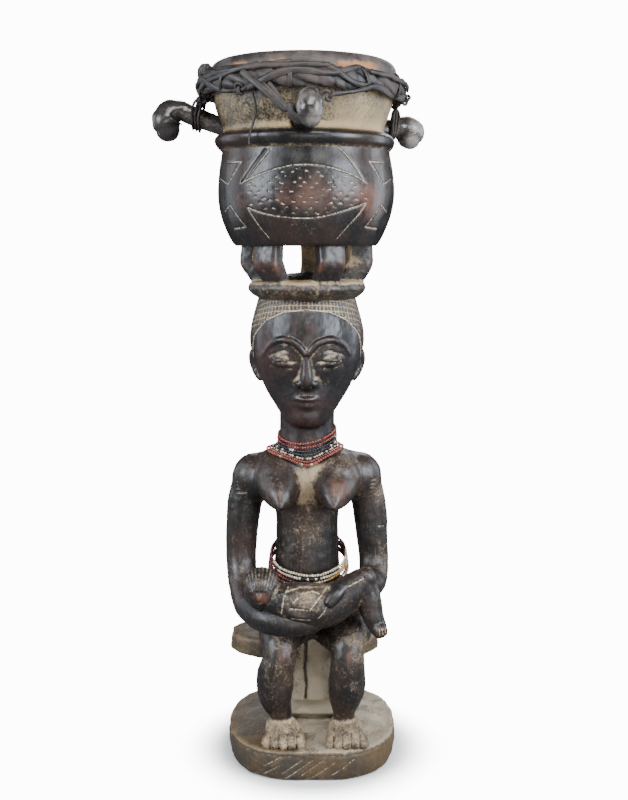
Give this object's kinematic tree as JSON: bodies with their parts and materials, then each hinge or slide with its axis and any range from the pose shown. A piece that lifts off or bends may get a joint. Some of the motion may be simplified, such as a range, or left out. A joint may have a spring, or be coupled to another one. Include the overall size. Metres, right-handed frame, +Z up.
{
  "type": "figure drum",
  "caption": "Carved wooden drum with a hide head, pegs and thongs, borne on the head of a seated mother figure who holds a child and wears strings of beads.",
  "frame": {"origin": "centre of the plinth's flat underside", "axes": "+Z up, from the plinth to the drumhead; the figure faces -Y; +X is to her left"},
  "size_m": [0.305, 0.3234, 0.7854],
  "materials": {
    "dark_wood": "old dark wood, handled to a gloss, with dry earth-coloured crust in the hollows",
    "peg_wood": "bare wood gone grey-black, knobs rubbed pale",
    "drum_hide": "dried hide, dark, with rubbed and hairy patches at its edge",
    "thong_hide": "dried dark leather, matt",
    "red_beads": "small opaque red glass beads",
    "dark_beads": "small blue-black glass beads",
    "pale_beads": "small cream glass beads",
    "gold_beads": "small yellow glass beads"
  },
  "bodies": {
    "root": {"carved_body": "dark_wood", "drum_hide": "drum_hide", "hide_hoop": "thong_hide", "peg_front": "peg_wood", "peg_right": "peg_wood", "peg_back": "peg_wood", "peg_left": "peg_wood", "thong_front": "thong_hide", "thong_right": "thong_hide", "thong_back": "thong_hide", "thong_left": "thong_hide", "thong_tail": "thong_hide", "neck_beads_1": "red_beads", "neck_beads_2": "red_beads", "neck_beads_3": "dark_beads", "neck_beads_4": "dark_beads", "neck_beads_5": "pale_beads", "neck_beads_6": "red_beads", "neck_beads_7": "red_beads", "waist_beads_1": "pale_beads", "waist_beads_2": "dark_beads", "waist_beads_3": "gold_beads", "waist_beads_4": "red_beads", "waist_beads_5": "pale_beads"}
  },
  "joints": []
}
